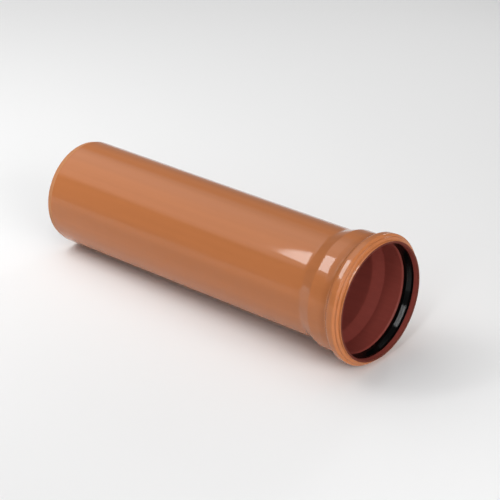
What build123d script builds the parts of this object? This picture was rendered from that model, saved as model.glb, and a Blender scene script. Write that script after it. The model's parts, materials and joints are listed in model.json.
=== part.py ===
"""Socketed PVC-U sewer pipe, nominal size 160, with its sealing ring, lying on a level floor.

The pipe is one extruded tube. Its right-hand end is heated and formed into a socket:
a short lip at the mouth, a bead whose inside is the groove of the sealing ring, a waist,
a straight bore that receives the next pipe, and a cone that runs down into the barrel.
The other end is the plain one, chamfered so that it slides into the next socket.

Both pieces are turned about the pipe's axis. Stations along it are counted from the
mouth towards the plain end. The pipe rests on its bead and on the end of its barrel,
so the axis rises gently towards the mouth.

Frame: +Z up, +X along the pipe towards the socket, +Y to its left.
Origin: on the floor, under the middle of the pipe.
"""

import os
from math import asin, atan2, cos, hypot, radians, sin, tan

from build123d import *

os.makedirs("parts", exist_ok=True)

# Barrel, in millimetres
outside_diameter = 160.0
wall = 4.7
laying_length = 500.0

# Plain end
chamfer_length = 9.0
chamfer_angle = 15.0

# Lip at the mouth, whose bore is wider than the socket's
lip_bore_step = 2.2
lip_wall = 3.8
lip_length = 3.7
lip_edge_chamfer = 0.8

# Bead, whose inside holds the sealing ring in a groove deeper than the lip's bore
groove_depth = 7.0
groove_start = 8.5
groove_front_run = 3.5
groove_end = 23.0
groove_back_run = 4.3
groove_corner_chamfer = 2.4
bead_wall = 4.6
bead_front_run = 5.2
bead_width = 10.0
bead_front_radius = 4.5
bead_back_radius = 6.5

# Shoulder on the bead's front flank, where the wall was pressed down in front of the ring
shoulder_run = 1.1
shoulder_width = 2.7
shoulder_height = 3.8
shoulder_rise = 0.2

# Waist between the bead and the body of the socket
waist_station = 28.5
waist_wall = 4.1
waist_radius = 5.0

# Body of the socket, whose bore is wider all round than the barrel that goes into it
socket_clearance = 1.2
socket_bore_end = 56.5
body_wall = 5.6
body_start = 39.5
body_end = 58.0
body_front_radius = 16.0
body_back_radius = 9.0

# Cone from the socket down to the barrel
cone_angle = 18.0
cone_back_radius = 22.0
cone_bore_radius = 12.0

# Sealing ring
ring_clearance = 0.2
ring_toe_height = 1.2
ring_heel_height = 4.4
ring_heel_width = 1.6
seal_tip_height = 0.7
seal_tip_gap = 1.5
seal_tip_thickness = 1.4
seal_tip_back = 0.4
seal_relief_depth = 5.5
seal_relief_height = 5.2

# How near two corners count as being at one radius
corner_tolerance = 0.001

# Radii worked out from the sizes above, each from the one that it follows
barrel_radius = outside_diameter / 2
bore_radius = barrel_radius - wall
socket_bore_radius = barrel_radius + socket_clearance
lip_bore_radius = socket_bore_radius + lip_bore_step
lip_radius = lip_bore_radius + lip_wall
groove_radius = lip_bore_radius + groove_depth
bead_radius = groove_radius + bead_wall
shoulder_radius = lip_radius + shoulder_height
waist_outer_radius = socket_bore_radius + waist_wall
body_radius = socket_bore_radius + body_wall
chamfer_depth = chamfer_length * tan(radians(chamfer_angle))
end_radius = barrel_radius - chamfer_depth

# Stations along the axis, from the mouth towards the plain end
shoulder_start = lip_length + shoulder_run
shoulder_end = shoulder_start + shoulder_width
bead_start = lip_length + bead_front_run
bead_end = bead_start + bead_width
cone_end = body_end + (body_radius - barrel_radius) / tan(radians(cone_angle))
cone_bore_end = socket_bore_end + (socket_bore_radius - bore_radius) / tan(radians(cone_angle))
length = cone_end + laying_length
barrel_end = length - chamfer_length

# Slope at which the pipe lies: one line touches the back of the bead and the end of the barrel
contact_run = barrel_end - bead_end
contact_rise = bead_radius - bead_back_radius - barrel_radius
slope = atan2(contact_rise, contact_run) + asin(bead_back_radius / hypot(contact_rise, contact_run))
mouth_x = length * cos(slope) / 2
mouth_z = barrel_radius * cos(slope) + barrel_end * sin(slope)

# The section is drawn in this plane: x runs along the axis, out of the mouth, and y is the radius
section = Plane(origin=(mouth_x, 0, mouth_z), x_dir=(cos(slope), 0, sin(slope)), z_dir=(0, -1, 0))
axis = Axis(section.origin, section.x_dir)

# The pipe's outline: its outside from the mouth to the plain end, then its inside back
pipe_outline = [
    (0, lip_radius),
    (-lip_length, lip_radius),
    (-shoulder_start, shoulder_radius),
    (-shoulder_end, shoulder_radius + shoulder_rise),
    (-bead_start, bead_radius),
    (-bead_end, bead_radius),
    (-waist_station, waist_outer_radius),
    (-body_start, body_radius),
    (-body_end, body_radius),
    (-cone_end, barrel_radius),
    (-barrel_end, barrel_radius),
    (-length, end_radius),
    (-length, bore_radius),
    (-cone_bore_end, bore_radius),
    (-socket_bore_end, socket_bore_radius),
    (-groove_end, socket_bore_radius),
    (-groove_end + groove_back_run, groove_radius),
    (-groove_start - groove_front_run, groove_radius),
    (-groove_start, lip_bore_radius),
    (0, lip_bore_radius),
]
pipe_corner_radii = [
    0,
    0,
    0,
    0,
    bead_front_radius,
    bead_back_radius,
    waist_radius,
    body_front_radius,
    body_back_radius,
    cone_back_radius,
    0,
    0,
    0,
    cone_bore_radius,
    0,
    0,
    0,
    0,
    0,
    0,
]


def at_radius(corners, radius):
    """The corners of an outline that lie at one radius from the axis."""
    return corners.filter_by(lambda corner: abs(corner.Y - radius) < corner_tolerance)


with BuildPart() as pipe:
    with BuildSketch(section) as pipe_section:
        with BuildLine():
            FilletPolyline(*pipe_outline, radius=pipe_corner_radii, close=True)
        make_face()
        chamfer(at_radius(pipe_section.vertices(), groove_radius), groove_corner_chamfer)
        inner_rim = at_radius(pipe_section.vertices(), lip_bore_radius).sort_by(Axis.X)[-1]
        outer_rim = at_radius(pipe_section.vertices(), lip_radius).sort_by(Axis.X)[-1]
        chamfer([inner_rim, outer_rim], lip_edge_chamfer)
    revolve(axis=axis)

# The sealing ring: a body that fills the groove, and a lip that leans back towards the bore.
# Behind the lip a relief, open to the back, lets it fold away as a pipe is pushed in.
ring_radius = groove_radius - ring_clearance
toe_radius = lip_bore_radius + ring_toe_height
heel_radius = socket_bore_radius + ring_heel_height
tip_radius = socket_bore_radius + seal_tip_height
relief_radius = socket_bore_radius + seal_relief_height
groove_front_slope = groove_front_run / (groove_radius - lip_bore_radius)
groove_back_slope = groove_back_run / (groove_radius - socket_bore_radius)


def front_flank(radius, gap):
    """Place along the axis of the groove's front flank at a radius, less a gap square to it."""
    station = groove_start + (radius - lip_bore_radius) * groove_front_slope
    return -station - gap * hypot(1, groove_front_slope)


def back_flank(radius, gap):
    """Place along the axis of the groove's back flank at a radius, less a gap square to it."""
    station = groove_end - (radius - socket_bore_radius) * groove_back_slope
    return -station + gap * hypot(1, groove_back_slope)


tip_x = back_flank(tip_radius, seal_tip_gap)
heel_x = back_flank(heel_radius, ring_clearance)
ring_outline = [
    (front_flank(toe_radius, ring_clearance), toe_radius),
    (front_flank(ring_radius, ring_clearance), ring_radius),
    (back_flank(ring_radius, ring_clearance), ring_radius),
    (heel_x, heel_radius),
    (heel_x + ring_heel_width, heel_radius),
    (tip_x + seal_relief_depth, relief_radius),
    (tip_x + seal_tip_back, tip_radius + seal_tip_thickness),
    (tip_x, tip_radius),
]

with BuildPart() as sealing_ring:
    with BuildSketch(section) as ring_section:
        with BuildLine():
            Polyline(*ring_outline, close=True)
        make_face()
        chamfer(at_radius(ring_section.vertices(), ring_radius), groove_corner_chamfer)
    revolve(axis=axis)

pipe.part.label = "pipe"
export_step(pipe.part, "parts/pipe.step")

sealing_ring.part.label = "sealing_ring"
export_step(sealing_ring.part, "parts/sealing_ring.step")
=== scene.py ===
"""A socketed PVC-U sewer pipe with its sealing ring, and the plain studio that it is shown in.

The pipe and the ring are surfaces of revolution. Each one's section is an outline with
rounded corners, given as places along the pipe's axis, counted from the mouth towards the
plain end, and radii, and it is turned about the axis that the frame's mounts give.
"""

import json
import math

import bpy
import numpy as np
from bpy.props import FloatProperty, FloatVectorProperty, IntProperty, PointerProperty
from bpy.types import Operator, Panel, PropertyGroup
from mathutils import Matrix, Vector


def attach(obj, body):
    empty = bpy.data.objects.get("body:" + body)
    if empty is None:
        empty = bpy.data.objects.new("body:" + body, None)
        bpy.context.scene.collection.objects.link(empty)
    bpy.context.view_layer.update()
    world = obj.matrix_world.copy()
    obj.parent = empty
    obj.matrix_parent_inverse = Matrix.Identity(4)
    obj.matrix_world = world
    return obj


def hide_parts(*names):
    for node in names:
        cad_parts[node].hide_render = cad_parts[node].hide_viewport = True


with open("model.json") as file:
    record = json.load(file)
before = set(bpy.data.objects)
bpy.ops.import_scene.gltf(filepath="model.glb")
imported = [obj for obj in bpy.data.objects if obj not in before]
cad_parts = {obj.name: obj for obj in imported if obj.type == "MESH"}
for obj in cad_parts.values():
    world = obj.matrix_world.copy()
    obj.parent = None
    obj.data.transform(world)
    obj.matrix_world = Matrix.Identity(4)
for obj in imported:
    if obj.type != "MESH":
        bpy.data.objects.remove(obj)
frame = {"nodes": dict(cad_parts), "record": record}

bl_info = {
    "name": "Socketed sewer pipe",
    "version": (1, 0, 0),
    "blender": (4, 5, 0),
    "location": "View3D > Sidebar > Pipe",
    "description": "Builds a socketed PVC-U sewer pipe, its sealing ring and a plain studio",
    "category": "Add Mesh",
}

MM = 0.001

PVC_IOR = 1.53
RUBBER_IOR = 1.52

# A noise texture's values lie mostly between these two
NOISE_LOW, NOISE_HIGH = 0.3, 0.7

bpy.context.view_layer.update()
MOUNTS = {mount["name"]: mount for mount in frame["record"]["mounts"]}
AXIS = np.array(MOUNTS["socket_bore"]["axis"])
ON_AXIS = np.array(MOUNTS["socket_bore"]["pos_m"])
BARREL_RADIUS = MOUNTS["plain_end"]["dims"]["r_mm"] * MM
SOCKET_RADIUS = MOUNTS["socket_bore"]["dims"]["r_mm"] * MM


def node_stations(node):
    """Lowest and highest place along the pipe's axis of a CAD node, in metres from ON_AXIS."""
    mesh = frame["nodes"][node].data
    corners = np.empty(len(mesh.vertices) * 3)
    mesh.vertices.foreach_get("co", corners)
    along = (corners.reshape(-1, 3) - ON_AXIS) @ AXIS
    return along.min(), along.max()


PLAIN_END, MOUTH = node_stations("pipe")
LENGTH = MOUTH - PLAIN_END


def linear(code):
    """An sRGB hex colour such as b06c3c as linear red, green and blue with an alpha of 1."""
    shares = np.array([int(code[i : i + 2], 16) for i in (0, 2, 4)]) / 255
    values = np.where(shares <= 0.04045, shares / 12.92, ((shares + 0.055) / 1.055) ** 2.4)
    return (*values.tolist(), 1.0)


def length_prop(name, description, millimetres):
    """A length that a user can change, with its default given in millimetres."""
    return FloatProperty(
        name=name,
        description=description,
        default=millimetres * MM,
        min=0,
        unit="LENGTH",
        precision=5,
    )


def angle_prop(name, description, degrees):
    """An angle that a user can change, with its default given in degrees."""
    return FloatProperty(
        name=name, description=description, default=math.radians(degrees), unit="ROTATION"
    )


def glow_prop(name, description, radiance):
    """A radiance that a user can change. At 1 a white surface that mirrors it is just white."""
    return FloatProperty(name=name, description=description, default=radiance, min=0)


def segments_prop(piece):
    """The number of faces round a turned piece."""
    return IntProperty(name="Segments", description=f"Faces round the {piece}", default=288, min=24)


def colour_prop(name, description, code):
    """A colour that a user can change, with its default given as an sRGB hex value."""
    return FloatVectorProperty(
        name=name,
        description=description,
        default=linear(code)[:3],
        subtype="COLOR",
        min=0,
        max=1,
    )


class PipeSizes(PropertyGroup):
    """Sizes of the pipe's section, beside those that the frame's mounts give.

    Places are counted along the axis from the mouth.
    """

    wall: length_prop("Wall", "Wall of the barrel", 4.7)
    chamfer_length: length_prop("Chamfer length", "Length of the chamfer at the plain end", 9.0)
    chamfer_angle: angle_prop("Chamfer angle", "Angle of the chamfer at the plain end", 15)
    lip_bore_step: length_prop("Lip bore step", "How far the lip's bore clears the socket's", 2.2)
    lip_wall: length_prop("Lip wall", "Wall of the lip at the mouth", 3.8)
    lip_length: length_prop("Lip length", "Straight outside of the lip", 3.7)
    shoulder_run: length_prop("Shoulder run", "Length of the flank up to the shoulder", 1.1)
    shoulder_width: length_prop("Shoulder width", "Width of the shoulder before the bead", 2.7)
    shoulder_height: length_prop("Shoulder height", "Height of the shoulder over the lip", 3.8)
    shoulder_rise: length_prop("Shoulder rise", "Rise of the shoulder towards the bead", 0.2)
    groove_depth: length_prop("Groove depth", "Depth of the groove below the lip's bore", 7.0)
    groove_start: length_prop("Groove start", "Place of the groove's front edge", 7.3)
    groove_end: length_prop("Groove end", "Place of the groove's back edge", 25.3)
    groove_front_run: length_prop("Groove front run", "Length of the groove's front flank", 4.7)
    groove_back_run: length_prop("Groove back run", "Length of the groove's back flank", 6.6)
    lead_in_height: length_prop("Lead-in height", "Height of the chamfer before the bore", 0.7)
    lead_in_angle: angle_prop("Lead-in angle", "Angle of the chamfer before the bore", 24.4)
    bead_wall: length_prop("Bead wall", "Wall over the groove", 4.6)
    bead_front_run: length_prop("Bead front run", "Length from the lip to the bead's crest", 5.2)
    bead_width: length_prop("Bead width", "Width of the bead's crest", 10.0)
    waist_place: length_prop("Waist place", "Place of the waist behind the bead", 28.5)
    waist_wall: length_prop("Waist wall", "Wall at the waist", 4.1)
    bore_end: length_prop("Socket bore end", "Place where the socket's bore ends", 56.5)
    body_wall: length_prop("Body wall", "Wall of the socket's body", 5.6)
    body_start: length_prop("Body start", "Place where the socket's body starts", 39.5)
    body_end: length_prop("Body end", "Place where the socket's body ends", 58.0)
    cone_angle: angle_prop("Cone angle", "Angle of the cone between socket and barrel", 18)
    segments: segments_prop("pipe")


class RingSizes(PropertyGroup):
    """Sizes of the sealing ring's section."""

    clearance: length_prop("Clearance", "Gap between the ring and its groove", 0.2)
    toe_height: length_prop("Toe height", "Height of the front toe over the lip's bore", 1.5)
    heel_height: length_prop("Heel height", "Height of the heel over the socket's bore", 4.4)
    heel_width: length_prop("Heel width", "Width of the heel's foot", 1.6)
    brow_place: length_prop("Brow place", "Place where the lip starts to lean inwards", 12.0)
    brow_height: length_prop("Brow height", "Height of the brow over the lip's bore", 1.4)
    fold_place: length_prop("Fold place", "Place where the lip turns flatter again", 18.6)
    fold_height: length_prop("Fold height", "Height of the fold over the socket's bore", 0.6)
    tip_height: length_prop("Tip height", "Height of the lip's tip over the socket's bore", 0.2)
    tip_gap: length_prop("Tip gap", "Gap between the tip and the groove's back flank", 1.5)
    tip_thickness: length_prop("Tip thickness", "Thickness of the lip at its tip", 1.4)
    tip_back: length_prop("Tip back", "How far the back of the tip leans forward", 0.4)
    relief_depth: length_prop("Relief depth", "Depth of the relief behind the lip", 5.5)
    relief_height: length_prop("Relief height", "Height of the relief over the socket's bore", 5.2)
    segments: segments_prop("ring")


class PipeColours(PropertyGroup):
    """Colours of the pipe and of the ring, and a dark colour that paints shade on the mouth's end
    face.
    """

    outside: colour_prop("Outside", "Clay brown of the pipe's outside", "b26d40")
    inside: colour_prop("Inside", "Dark red-brown of the pipe's inside", "883f37")
    cut: colour_prop("Cut faces", "Machined faces at the plain end", "bd8056")
    # Painted shade: the machined end face at the mouth gets a near-black brown, darker than the
    # pipe's own colours, so it looks shaded even though the mouth softbox lights it
    rim_painted_shade: colour_prop("Rim", "Machined face at the mouth", "5e2a20")
    rubber: colour_prop("Rubber", "Black of the sealing ring", "060606")


class StudioSettings(PropertyGroup):
    """The camera, the lights and the floor."""

    azimuth: angle_prop("Azimuth", "Camera's turn about the pipe", 41.539)
    elevation: angle_prop("Elevation", "Camera's height over the floor", 27.424)
    distance: length_prop("Distance", "From the camera to the point that it looks at", 2795.1)
    aim: FloatVectorProperty(
        name="Aim",
        description="Point that the camera looks at",
        default=(0.03188, 0.02146, 0.07858),
        subtype="TRANSLATION",
        unit="LENGTH",
        precision=5,
    )
    lens: FloatProperty(name="Lens", description="Focal length in millimetres", default=138.46)
    key_glow: glow_prop("Key glow", "Radiance of the key softbox", 9.4)
    top_glow: glow_prop("Top glow", "Radiance of the overhead softbox", 1.2)
    side_glow: glow_prop("Side glow", "Radiance of the softbox beside the socket", 12.0)
    back_glow: glow_prop("Back glow", "Radiance of the small softbox behind", 12.0)
    mouth_glow: glow_prop("Mouth glow", "Radiance of the softbox before the mouth", 5.4)
    wall_glow: glow_prop("Wall glow", "Radiance of the studio's walls", 0.2)
    horizon_glow: glow_prop("Horizon glow", "Radiance of the foot of the walls", 0.33)
    roof_glow: glow_prop("Roof glow", "Radiance of the ceiling", 0.15)
    scrim_glow: glow_prop("Scrim glow", "Radiance of the ceiling beyond the plain end", 1.5)
    floor: colour_prop("Floor", "Pale grey of the floor", "ececec")
    floor_reach: length_prop("Floor reach", "From the pipe to the floor's edges", 12000)


def arc_points(corner, before, after, radius, step):
    """Points of the arc that rounds one corner of an outline.

    The arc touches both runs at radius / tan(half the angle between them) from the corner,
    and its centre lies on their bisector at radius / sin(half that angle).
    """
    back = (before - corner) / np.linalg.norm(before - corner)
    ahead = (after - corner) / np.linalg.norm(after - corner)
    half = math.acos(np.clip(back @ ahead, -1, 1)) / 2
    bisector = (back + ahead) / np.linalg.norm(back + ahead)
    centre = corner + bisector * radius / math.sin(half)
    start = corner + back * radius / math.tan(half) - centre
    end = corner + ahead * radius / math.tan(half) - centre
    sweep = math.pi - 2 * half
    count = max(3, math.ceil(sweep / step)) + 1
    share = np.linspace(0, 1, count)[:, None]
    swing = np.sin((1 - share) * sweep) * start + np.sin(share * sweep) * end
    return centre + swing / math.sin(sweep)


def run_points(start, end, spacing, margin):
    """Points of a straight run: one a margin from each end, and the rest evenly between them.

    A run of under three margins gets none.
    """
    length = np.linalg.norm(end - start)
    if length < 3 * margin:
        return np.empty((0, 2))
    count = max(2, math.ceil((length - 2 * margin) / spacing) + 1)
    share = np.linspace(margin / length, 1 - margin / length, count)[:, None]
    return start + share * (end - start)


def rounded_outline(corners, radii, spacing=12 * MM, margin=0.25 * MM, step=math.radians(7)):
    """A closed outline with every corner rounded, and the corner that each point belongs to.

    The points of a run belong to the corner at its start. Each arc has a point every step.
    """
    corners = np.array(corners)
    arcs = [
        arc_points(corners[i], corners[i - 1], corners[(i + 1) % len(corners)], radii[i], step)
        for i in range(len(corners))
    ]
    parts, owners = [], []
    for i, arc in enumerate(arcs):
        run = run_points(arc[-1], arcs[(i + 1) % len(arcs)][0], spacing, margin)
        parts += [arc, run]
        owners += [i] * (len(arc) + len(run))
    return np.concatenate(parts), np.array(owners)


def turned_mesh(name, outline, slots, segments):
    """A closed outline turned about the pipe's axis.

    A point at place x and radius r goes to the mouth's centre + x along the axis
    + r * (cos(turn) sideways + sin(turn) upwards). The grid closes in both directions.
    The UV map gives metres round the barrel and metres along the outline.
    """
    side = np.cross((0, 0, 1.0), AXIS)
    side /= np.linalg.norm(side)
    up = np.cross(AXIS, side)
    turn = np.linspace(0, 2 * math.pi, segments, endpoint=False)
    spoke = np.cos(turn)[:, None] * side + np.sin(turn)[:, None] * up
    mouth = ON_AXIS + MOUTH * AXIS
    points = mouth + outline[:, 0, None, None] * AXIS + outline[:, 1, None, None] * spoke

    rows, columns = len(outline), segments
    row, column = np.meshgrid(np.arange(rows), np.arange(columns), indexing="ij")
    next_row, next_column = (row + 1) % rows, (column + 1) % columns
    faces = np.stack(
        [
            row * columns + column,
            next_row * columns + column,
            next_row * columns + next_column,
            row * columns + next_column,
        ],
        axis=-1,
    ).reshape(-1, 4)

    mesh = bpy.data.meshes.new(name)
    mesh.from_pydata(points.reshape(-1, 3).tolist(), [], faces.tolist())
    mesh.polygons.foreach_set("material_index", np.repeat(slots, columns).astype(np.int32))

    steps = np.linalg.norm(np.roll(outline, -1, axis=0) - outline, axis=1)
    run = np.concatenate([[0], np.cumsum(steps)])
    girth = 2 * math.pi * BARREL_RADIUS
    across = np.stack([column, column, column + 1, column + 1], axis=-1) * girth / columns
    along = np.stack([run[row], run[row + 1], run[row + 1], run[row]], axis=-1)
    layer = mesh.uv_layers.new(name="metres")
    layer.data.foreach_set("uv", np.stack([across, along], axis=-1).ravel())
    mesh.shade_smooth()
    mesh.validate()
    return mesh


def add_piece(name, mesh, materials, node):
    """Puts a finished mesh into the scene, in place of a CAD node and riding on its body."""
    piece = bpy.data.objects.new(name, mesh)
    bpy.context.scene.collection.objects.link(piece)
    for material in materials:
        mesh.materials.append(material)
    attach(piece, "root")
    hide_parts(node)
    return piece


def add_node(tree, kind, inputs=None, **settings):
    """Adds a node with its settings. An input that is a socket is linked, any other is set."""
    node = tree.nodes.new(kind)
    for name, value in settings.items():
        setattr(node, name, value)
    for name, value in (inputs or {}).items():
        if isinstance(value, bpy.types.NodeSocket):
            tree.links.new(value, node.inputs[name])
        else:
            node.inputs[name].default_value = value
    return node


def new_material(name):
    """An empty node material and its tree."""
    material = bpy.data.materials.new(name)
    material.use_nodes = True
    material.node_tree.nodes.clear()
    return material, material.node_tree


def finish_material(tree, inputs):
    """Adds the surface shader with its inputs and the output."""
    shader = add_node(tree, "ShaderNodeBsdfPrincipled", inputs)
    add_node(tree, "ShaderNodeOutputMaterial", {"Surface": shader.outputs["BSDF"]})


def along_pipe(tree, length=1, width=1):
    """Object coordinates turned so that X runs along the sloping pipe.

    They are divided by the length and width of a pattern's grain, in metres.
    """
    coordinates = add_node(tree, "ShaderNodeTexCoord")
    turned = add_node(
        tree,
        "ShaderNodeMapping",
        {
            "Vector": coordinates.outputs["Object"],
            "Rotation": (0, -math.asin(AXIS[2]), 0),
            "Scale": (length, width, width),
        },
        vector_type="TEXTURE",
    )
    return turned.outputs["Vector"]


def round_pipe(tree, length, width):
    """Coordinates for marks that run round a turned piece, divided by their length and width.

    The place across the marks is the one along the outline, from the UV map. The place round
    the piece comes from Object coordinates, so that the marks meet all the way round.
    """
    sheet = add_node(tree, "ShaderNodeUVMap", uv_map="metres")
    section = add_node(tree, "ShaderNodeSeparateXYZ", {"Vector": sheet.outputs["UV"]})
    where = add_node(tree, "ShaderNodeSeparateXYZ", {"Vector": along_pipe(tree)})
    joined = add_node(
        tree,
        "ShaderNodeCombineXYZ",
        {"X": section.outputs["Y"], "Y": where.outputs["Y"], "Z": where.outputs["Z"]},
    )
    divided = add_node(
        tree,
        "ShaderNodeMapping",
        {"Vector": joined.outputs["Vector"], "Scale": (width, length, length)},
        vector_type="TEXTURE",
    )
    return divided.outputs["Vector"]


def spread(noise, low, high):
    """Inputs of a Map Range that spreads a noise texture's values from low to high."""
    return {
        "Value": noise.outputs["Fac"],
        "From Min": NOISE_LOW,
        "From Max": NOISE_HIGH,
        "To Min": low,
        "To Max": high,
    }


def extruded_pvc(colour):
    """Extruded PVC-U, sized in a polished sleeve: clay brown and a bright gloss.

    The melt is drawn out along the pipe, which leaves faint streaks of colour about 20 mm
    wide. The die leaves very faint lines about 3 mm apart, which soften reflections.
    """
    material, tree = new_material("extruded_pvc_clay")
    streaks = add_node(
        tree,
        "ShaderNodeTexNoise",
        {
            "Vector": along_pipe(tree, 800 * MM, 20 * MM),
            "Scale": 1.0,
            "Detail": 2.0,
            "Roughness": 0.5,
        },
    )
    lines = add_node(
        tree,
        "ShaderNodeTexNoise",
        {
            "Vector": along_pipe(tree, 600 * MM, 3 * MM),
            "Scale": 1.0,
            "Detail": 2.0,
            "Roughness": 0.6,
        },
    )
    tint = add_node(tree, "ShaderNodeMapRange", spread(streaks, 0.945, 1.055))
    shade = add_node(
        tree,
        "ShaderNodeVectorMath",
        {0: colour, "Scale": tint.outputs["Result"]},
        operation="SCALE",
    )
    rough = add_node(tree, "ShaderNodeMapRange", spread(lines, 0.04, 0.07))
    relief = add_node(
        tree,
        "ShaderNodeBump",
        {"Height": lines.outputs["Fac"], "Strength": 0.06, "Distance": 0.1 * MM},
    )
    finish_material(
        tree,
        {
            "Base Color": shade.outputs["Vector"],
            "Roughness": rough.outputs["Result"],
            "Normal": relief.outputs["Normal"],
            "IOR": PVC_IOR,
            "Specular IOR Level": 0.3,
        },
    )
    return material


def bore_pvc(colour):
    """The inside of the extruded pipe, in dark red-brown.

    Only the outside is sized in a polished sleeve, so the inside is duller. The die's
    lines run along it too, about 4 mm apart, and shade it slightly.
    """
    material, tree = new_material("extruded_pvc_bore")
    lines = add_node(
        tree,
        "ShaderNodeTexNoise",
        {
            "Vector": along_pipe(tree, 400 * MM, 4 * MM),
            "Scale": 1.0,
            "Detail": 3.0,
            "Roughness": 0.6,
        },
    )
    tint = add_node(tree, "ShaderNodeMapRange", spread(lines, 0.94, 1.06))
    shade = add_node(
        tree,
        "ShaderNodeVectorMath",
        {0: colour, "Scale": tint.outputs["Result"]},
        operation="SCALE",
    )
    relief = add_node(
        tree,
        "ShaderNodeBump",
        {"Height": lines.outputs["Fac"], "Strength": 0.1, "Distance": 0.1 * MM},
    )
    finish_material(
        tree,
        {
            "Base Color": shade.outputs["Vector"],
            "Roughness": 0.42,
            "Normal": relief.outputs["Normal"],
            "IOR": PVC_IOR,
            "Specular IOR Level": 0.25,
        },
    )
    return material


def machined_pvc(name, colour):
    """Sawn and turned PVC-U: dull, with the tool's rings about 0.5 mm apart."""
    material, tree = new_material(name)
    rings = add_node(
        tree,
        "ShaderNodeTexNoise",
        {"Vector": round_pipe(tree, 50 * MM, 0.5 * MM), "Scale": 1.0, "Detail": 2.0},
    )
    tint = add_node(tree, "ShaderNodeMapRange", spread(rings, 0.92, 1.05))
    shade = add_node(
        tree,
        "ShaderNodeVectorMath",
        {0: colour, "Scale": tint.outputs["Result"]},
        operation="SCALE",
    )
    relief = add_node(
        tree,
        "ShaderNodeBump",
        {"Height": rings.outputs["Fac"], "Strength": 0.4, "Distance": 0.1 * MM},
    )
    finish_material(
        tree,
        {
            "Base Color": shade.outputs["Vector"],
            "Roughness": 0.6,
            "Normal": relief.outputs["Normal"],
            "IOR": PVC_IOR,
            "Specular IOR Level": 0.1,
        },
    )
    return material


def moulded_rubber(colour):
    """Moulded EPDM with a film of lubricant: deep black, with a sharp sheen.

    The mould was turned on a lathe, and its tool marks run round the ring. They are about
    0.1 mm apart on the real one and are drawn 0.8 mm apart, or they would not show.
    """
    material, tree = new_material("moulded_rubber")
    marks = add_node(
        tree,
        "ShaderNodeTexNoise",
        {"Vector": round_pipe(tree, 60 * MM, 0.8 * MM), "Scale": 1.0, "Detail": 2.0},
    )
    rough = add_node(tree, "ShaderNodeMapRange", spread(marks, 0.07, 0.13))
    relief = add_node(
        tree,
        "ShaderNodeBump",
        {"Height": marks.outputs["Fac"], "Strength": 0.25, "Distance": 0.2 * MM},
    )
    finish_material(
        tree,
        {
            "Base Color": (*colour, 1.0),
            "Roughness": rough.outputs["Result"],
            "Normal": relief.outputs["Normal"],
            "IOR": RUBBER_IOR,
            "Specular IOR Level": 0.18,
        },
    )
    return material


def groove_flanks(sizes):
    """Slopes of the ring groove's front and back flanks, as length for each unit of height."""
    front = sizes.groove_front_run / sizes.groove_depth
    back = sizes.groove_back_run / (sizes.groove_depth + sizes.lip_bore_step)
    return front, back


class PIPE_OT_wall(Operator):
    """Make the pipe: lip, bead, waist, socket body, cone, barrel and plain end in one wall"""

    bl_idname = "pipe.wall"
    bl_label = "Pipe"

    def execute(self, context):
        s = context.scene.pipe_sizes
        colours = context.scene.pipe_colours
        bore = BARREL_RADIUS - s.wall
        lip_bore = SOCKET_RADIUS + s.lip_bore_step
        lip = lip_bore + s.lip_wall
        groove = lip_bore + s.groove_depth
        bead = groove + s.bead_wall
        waist = SOCKET_RADIUS + s.waist_wall
        body = SOCKET_RADIUS + s.body_wall
        shoulder = lip + s.shoulder_height
        shoulder_start = s.lip_length + s.shoulder_run
        shoulder_end = shoulder_start + s.shoulder_width
        lead_in_start = s.groove_end - s.lead_in_height * groove_flanks(s)[1]
        lead_in_end = lead_in_start + s.lead_in_height / math.tan(s.lead_in_angle)
        bead_start = s.lip_length + s.bead_front_run
        bead_end = bead_start + s.bead_width
        cone_end = s.body_end + (body - BARREL_RADIUS) / math.tan(s.cone_angle)
        cone_bore_end = s.bore_end + (SOCKET_RADIUS - bore) / math.tan(s.cone_angle)
        end = BARREL_RADIUS - s.chamfer_length * math.tan(s.chamfer_angle)
        outside, cut, inside, rim_painted_shade = range(4)
        # Each corner's place, radius and rounding in millimetres, and the finish that follows it
        corners = [
            (0, lip, 0.4, outside),
            (-s.lip_length, lip, 0.4, outside),
            (-shoulder_start, shoulder, 0.9, outside),
            (-shoulder_end, shoulder + s.shoulder_rise, 0.9, outside),
            (-bead_start, bead, 2.0, outside),
            (-bead_end, bead, 6.5, outside),
            (-s.waist_place, waist, 5.0, outside),
            (-s.body_start, body, 16.0, outside),
            (-s.body_end, body, 9.0, outside),
            (-cone_end, BARREL_RADIUS, 22.0, outside),
            (-(LENGTH - s.chamfer_length), BARREL_RADIUS, 0.5, cut),
            (-LENGTH, end, 0.3, cut),
            (-LENGTH, bore, 0.3, inside),
            (-cone_bore_end, bore, 12.0, inside),
            (-s.bore_end, SOCKET_RADIUS, 1.0, inside),
            (-lead_in_end, SOCKET_RADIUS, 0.6, inside),
            (-lead_in_start, SOCKET_RADIUS + s.lead_in_height, 0.4, inside),
            (-s.groove_end + s.groove_back_run, groove, 2.2, inside),
            (-s.groove_start - s.groove_front_run, groove, 2.2, inside),
            (-s.groove_start, lip_bore, 0.5, inside),
            # The end face at the mouth follows this corner and takes the rim colour, which is
            # painted shade
            (0, lip_bore, 0.7, rim_painted_shade),
        ]
        table = np.array(corners)
        outline, owners = rounded_outline(table[:, :2], table[:, 2] * MM)
        mesh = turned_mesh("pipe_wall", outline, table[owners, 3], s.segments)
        materials = [
            extruded_pvc(colours.outside),
            machined_pvc("machined_pvc", colours.cut),
            bore_pvc(colours.inside),
            # Last slot: machined PVC-U for the mouth's end face, in a darkened colour that paints
            # shade on it
            machined_pvc("mouth_face_painted_shade", colours.rim_painted_shade),
        ]
        add_piece("pipe_wall", mesh, materials, "pipe")
        return {"FINISHED"}


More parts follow.
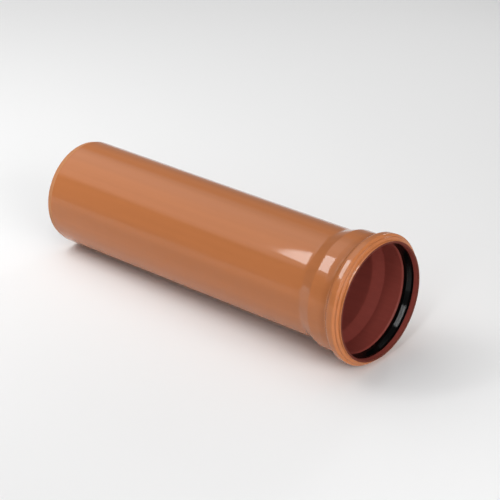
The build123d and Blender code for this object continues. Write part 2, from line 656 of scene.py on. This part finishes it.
class PIPE_OT_ring(Operator):
    """Make the sealing ring: a body that fills the groove and a lip that leans back"""

    bl_idname = "pipe.ring"
    bl_label = "Sealing ring"

    def execute(self, context):
        s, r = context.scene.pipe_sizes, context.scene.ring_sizes
        lip_bore = SOCKET_RADIUS + s.lip_bore_step
        crest = lip_bore + s.groove_depth - r.clearance
        toe = lip_bore + r.toe_height
        heel = SOCKET_RADIUS + r.heel_height
        tip = SOCKET_RADIUS + r.tip_height
        relief = SOCKET_RADIUS + r.relief_height
        front_slope, back_slope = groove_flanks(s)

        def front(radius, gap):
            """Place of the groove's front flank at a radius, less a gap square to it."""
            flank = s.groove_start + (radius - lip_bore) * front_slope
            return -flank - gap * math.hypot(1, front_slope)

        def back(radius, gap):
            """Place of the groove's back flank at a radius, less a gap square to it."""
            flank = s.groove_end - (radius - SOCKET_RADIUS) * back_slope
            return -flank + gap * math.hypot(1, back_slope)

        tip_x = back(tip, r.tip_gap)
        heel_x = back(heel, r.clearance)
        # Each corner's place, radius and rounding in millimetres
        corners = [
            (front(toe, r.clearance), toe, 0.5),
            (front(crest, r.clearance), crest, 2.2),
            (back(crest, r.clearance), crest, 2.2),
            (heel_x, heel, 0.5),
            (heel_x + r.heel_width, heel, 0.4),
            (tip_x + r.relief_depth, relief, 0.5),
            (tip_x + r.tip_back, tip + r.tip_thickness, 0.4),
            (tip_x, tip, 0.5),
            (-r.fold_place, SOCKET_RADIUS + r.fold_height, 2.0),
            (-r.brow_place, lip_bore + r.brow_height, 1.5),
        ]
        table = np.array(corners)
        outline, owners = rounded_outline(table[:, :2], table[:, 2] * MM, spacing=0.25 * MM)
        mesh = turned_mesh("seal_ring", outline, np.zeros_like(owners), r.segments)
        rubber = moulded_rubber(context.scene.pipe_colours.rubber)
        add_piece("seal_ring", mesh, [rubber], "sealing_ring")
        return {"FINISHED"}


def softbox(name, corner, across, upwards, radiance):
    """A rectangular area lamp that faces the pipe, from its corner and its two sides.

    A lamp that gives off the same radiance everywhere has a power of pi * area * radiance.
    """
    across, upwards = Vector(across), Vector(upwards)
    centre = Vector(corner) + (across + upwards) / 2
    lamp = bpy.data.lights.new(name, "AREA")
    lamp.shape = "RECTANGLE"
    lamp.size, lamp.size_y = across.length, upwards.length
    lamp.energy = math.pi * lamp.size * lamp.size_y * radiance
    piece = bpy.data.objects.new(name, lamp)
    x = across.normalized()
    z = x.cross(upwards).normalized()
    if z.dot(centre) < 0:
        x, z = -x, -z
    turn = Matrix((x, z.cross(x), z)).transposed().to_4x4()
    piece.matrix_world = Matrix.Translation(centre) @ turn
    bpy.context.scene.collection.objects.link(piece)
    return piece


# Each softbox's corner and its two sides, in metres. The key makes the highlights on the barrel
# and the socket, side the ring's sheen, back the glint on the bead, and mouth lights the bore.
SOFTBOXES = {
    "key": ((-1.03, -1.00, 1.39), (0.58, 0.17, -0.49), (0.07, 0.65, 0.31)),
    "top": ((-0.6, -1.0, 3.0), (1.2, 0, 0), (0, 2.4, 0)),
    "side": ((0.77, -1.80, 0.95), (0.14, 0, 0), (0, 0.95, 1.05)),
    "back": ((-0.4, 1.65, 0.6), (0.24, 0, 0), (0, 0.2, 0.55)),
    "mouth": ((2.24, -1.40, 0.20), (0.43, 1.44, 0), (-0.52, 0.16, 1.40)),
}


class PIPE_OT_studio(Operator):
    """Make the floor, the world, the lamps and the camera"""

    bl_idname = "pipe.studio"
    bl_label = "Studio"

    def execute(self, context):
        s = context.scene.pipe_studio
        self.floor(s)
        self.world(context, s)
        for name, (corner, across, upwards) in SOFTBOXES.items():
            softbox(f"{name}_softbox", corner, across, upwards, getattr(s, f"{name}_glow"))
        self.camera(context, s)
        return {"FINISHED"}

    def floor(self, s):
        """A wide level floor, pale grey and matt, under the pipe."""
        reach = s.floor_reach
        corners = [(-reach, -reach, 0), (reach, -reach, 0), (reach, reach, 0), (-reach, reach, 0)]
        mesh = bpy.data.meshes.new("floor")
        mesh.from_pydata(corners, [], [(0, 1, 2, 3)])
        floor = bpy.data.objects.new("floor", mesh)
        bpy.context.scene.collection.objects.link(floor)
        material, tree = new_material("studio_floor")
        finish_material(
            tree, {"Base Color": (*s.floor, 1.0), "Roughness": 0.9, "Specular IOR Level": 0.0}
        )
        mesh.materials.append(material)

    def world(self, context, s):
        """Even walls, paler at their foot, under a dark ceiling with a bright scrim.

        The scrim is in the ceiling beyond the plain end, and fades out behind the pipe.
        """
        world = bpy.data.worlds.new("studio")
        context.scene.world = world
        world.use_nodes = True
        tree = world.node_tree
        tree.nodes.clear()
        # In a world, Generated is the direction that is looked in, each part from -1 to 1
        coordinates = add_node(tree, "ShaderNodeTexCoord")
        parts = add_node(
            tree, "ShaderNodeSeparateXYZ", {"Vector": coordinates.outputs["Generated"]}
        )
        # Each change follows one part, from a first to a last value, from one glow to another
        changes = {
            "scrim": ("Y", 0.75, 0.15, s.roof_glow, s.scrim_glow),
            "ceiling": ("X", -0.10, -0.55, s.roof_glow, "scrim"),
            "wall": ("Z", 0.0, 0.2, s.horizon_glow, s.wall_glow),
            "studio": ("Z", 0.47, 0.60, "wall", "ceiling"),
        }
        glows = {}
        for name, (part, first, last, low, high) in changes.items():
            change = add_node(
                tree,
                "ShaderNodeMapRange",
                {
                    "Value": parts.outputs[part],
                    "From Min": first,
                    "From Max": last,
                    "To Min": glows.get(low, low),
                    "To Max": glows.get(high, high),
                },
                interpolation_type="SMOOTHSTEP",
            )
            glows[name] = change.outputs["Result"]
        surround = add_node(
            tree, "ShaderNodeBackground", {"Color": (1, 1, 1, 1), "Strength": glows["studio"]}
        )
        add_node(tree, "ShaderNodeOutputWorld", {"Surface": surround.outputs["Background"]})

    def camera(self, context, s):
        """A camera at the photograph's angle, level, with no shift."""
        data = bpy.data.cameras.new("camera")
        data.lens = s.lens
        camera = bpy.data.objects.new("camera", data)
        context.scene.collection.objects.link(camera)
        back = Vector(
            (
                math.sin(s.azimuth) * math.cos(s.elevation),
                -math.cos(s.azimuth) * math.cos(s.elevation),
                math.sin(s.elevation),
            )
        )
        camera.location = Vector(s.aim) + back * s.distance
        camera.rotation_euler = (-back).to_track_quat("-Z", "Y").to_euler()
        context.scene.camera = camera
        context.scene.view_settings.view_transform = "Standard"


class PIPE_PT_panel(Panel):
    """The pipe's sizes, its colours and the steps that build it"""

    bl_idname = "PIPE_PT_panel"
    bl_label = "Socketed pipe"
    bl_space_type = "VIEW_3D"
    bl_region_type = "UI"
    bl_category = "Pipe"

    def draw(self, context):
        scene = context.scene
        groups = (scene.pipe_sizes, scene.ring_sizes, scene.pipe_colours, scene.pipe_studio)
        for group in groups:
            box = self.layout.box()
            for name in group.__annotations__:
                box.prop(group, name)
        for step in STEPS:
            self.layout.operator(step.bl_idname)


STEPS = (PIPE_OT_wall, PIPE_OT_ring, PIPE_OT_studio)
GROUPS = (PipeSizes, RingSizes, PipeColours, StudioSettings)
CLASSES = (*GROUPS, *STEPS, PIPE_PT_panel)


def register():
    """Registers the classes and gives each scene its settings."""
    for item in CLASSES:
        bpy.utils.register_class(item)
    bpy.types.Scene.pipe_sizes = PointerProperty(type=PipeSizes)
    bpy.types.Scene.ring_sizes = PointerProperty(type=RingSizes)
    bpy.types.Scene.pipe_colours = PointerProperty(type=PipeColours)
    bpy.types.Scene.pipe_studio = PointerProperty(type=StudioSettings)


def unregister():
    """Takes back what register added, in the opposite order."""
    del bpy.types.Scene.pipe_studio
    del bpy.types.Scene.pipe_colours
    del bpy.types.Scene.ring_sizes
    del bpy.types.Scene.pipe_sizes
    for item in reversed(CLASSES):
        bpy.utils.unregister_class(item)


def main():
    """Builds the pipe, the ring and the studio."""
    register()
    bpy.ops.pipe.wall()
    bpy.ops.pipe.ring()
    bpy.ops.pipe.studio()


if __name__ == "__main__":
    main()
